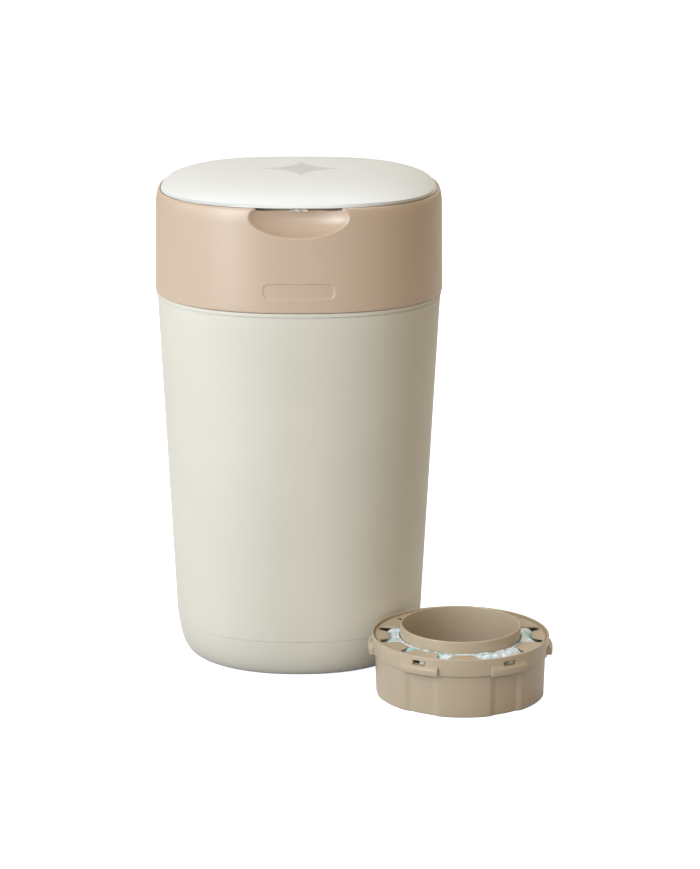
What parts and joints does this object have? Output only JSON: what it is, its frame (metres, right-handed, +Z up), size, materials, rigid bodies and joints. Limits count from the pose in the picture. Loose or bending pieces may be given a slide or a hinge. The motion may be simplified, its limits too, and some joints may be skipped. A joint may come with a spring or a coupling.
{
  "type": "nappy bin",
  "caption": "Tapered square-round nappy bin with a domed hinged lid, a twist-ring film head that tips back, and a refill cassette standing beside it.",
  "frame": {"origin": "middle of the tub's flat base, on the surface the bin stands on", "axes": "+Z up along the bin's axis, -Y towards the front with the finger scoop, +X to the right as seen from the front"},
  "size_m": [0.35, 0.3564, 0.445],
  "materials": {
    "cream_plastic": "satin moulded cream plastic",
    "lid_plastic": "satin moulded off-white plastic",
    "rose_plastic": "satin moulded rose-beige plastic",
    "inner_plastic": "matte moulded plastic",
    "taupe_plastic": "satin moulded plastic",
    "cassette_plastic": "satin moulded taupe plastic",
    "bag_film": "thin glossy film, pleated",
    "seal_rubber": "soft matte seal",
    "steel_pin": "plain turned steel",
    "blade_steel": "ground blade steel"
  },
  "bodies": {
    "tub": {"tub": "cream_plastic", "head_hinge_pin": "steel_pin"},
    "head": {"collar": "rose_plastic", "deck": "inner_plastic", "well": "inner_plastic", "head_base": "inner_plastic", "rim_seal": "seal_rubber", "deck_screw_1": "steel_pin", "deck_screw_2": "steel_pin", "deck_screw_3": "steel_pin", "deck_screw_4": "steel_pin", "film_grip": "taupe_plastic", "lid_hinge_pin": "steel_pin"},
    "lid": {"lid_shell": "lid_plastic", "lid_liner": "inner_plastic", "lid_seal": "seal_rubber", "lid_catch": "inner_plastic"},
    "twist_ring": {"rotor": "taupe_plastic"},
    "finger": {"click_finger": "taupe_plastic"},
    "cutter": {"cutter_slide": "rose_plastic", "cutter_blade": "blade_steel"},
    "cassette": {"cassette_tub": "cassette_plastic", "cassette_core": "cassette_plastic", "cassette_cover": "cassette_plastic", "film_pack": "bag_film"}
  },
  "joints": [
    {"name": "head_tilt", "type": "hinge", "parent": "tub", "child": "head", "pos_m": [0, 0.1334, 0.3341], "axis": [-1, 0, 0], "range_deg": [0, 95]},
    {"name": "lid_tilt", "type": "hinge", "parent": "head", "child": "lid", "pos_m": [0, 0.127, 0.4224], "axis": [-1, 0, 0], "range_deg": [0, 100]},
    {"name": "rotor_spin", "type": "hinge", "parent": "head", "child": "twist_ring", "pos_m": [0, 0, 0.38], "axis": [0, 0, 1], "continuous": true},
    {"name": "finger_click", "type": "hinge", "parent": "head", "child": "finger", "pos_m": [0.0912, 0.0135, 0.364], "axis": [0, 0, 1], "range_deg": [0, 6], "stiffness_Nm_per_rad": 0.05},
    {"name": "cutter_slide", "type": "slide", "parent": "head", "child": "cutter", "axis": [-1, 0, 0], "range_m": [0, 0.156]},
    {"name": "cassette_lift", "type": "slide", "parent": "tub", "child": "cassette", "axis": [0.2, -0.2, 0.9592], "range_m": [0, 0.12]}
  ]
}
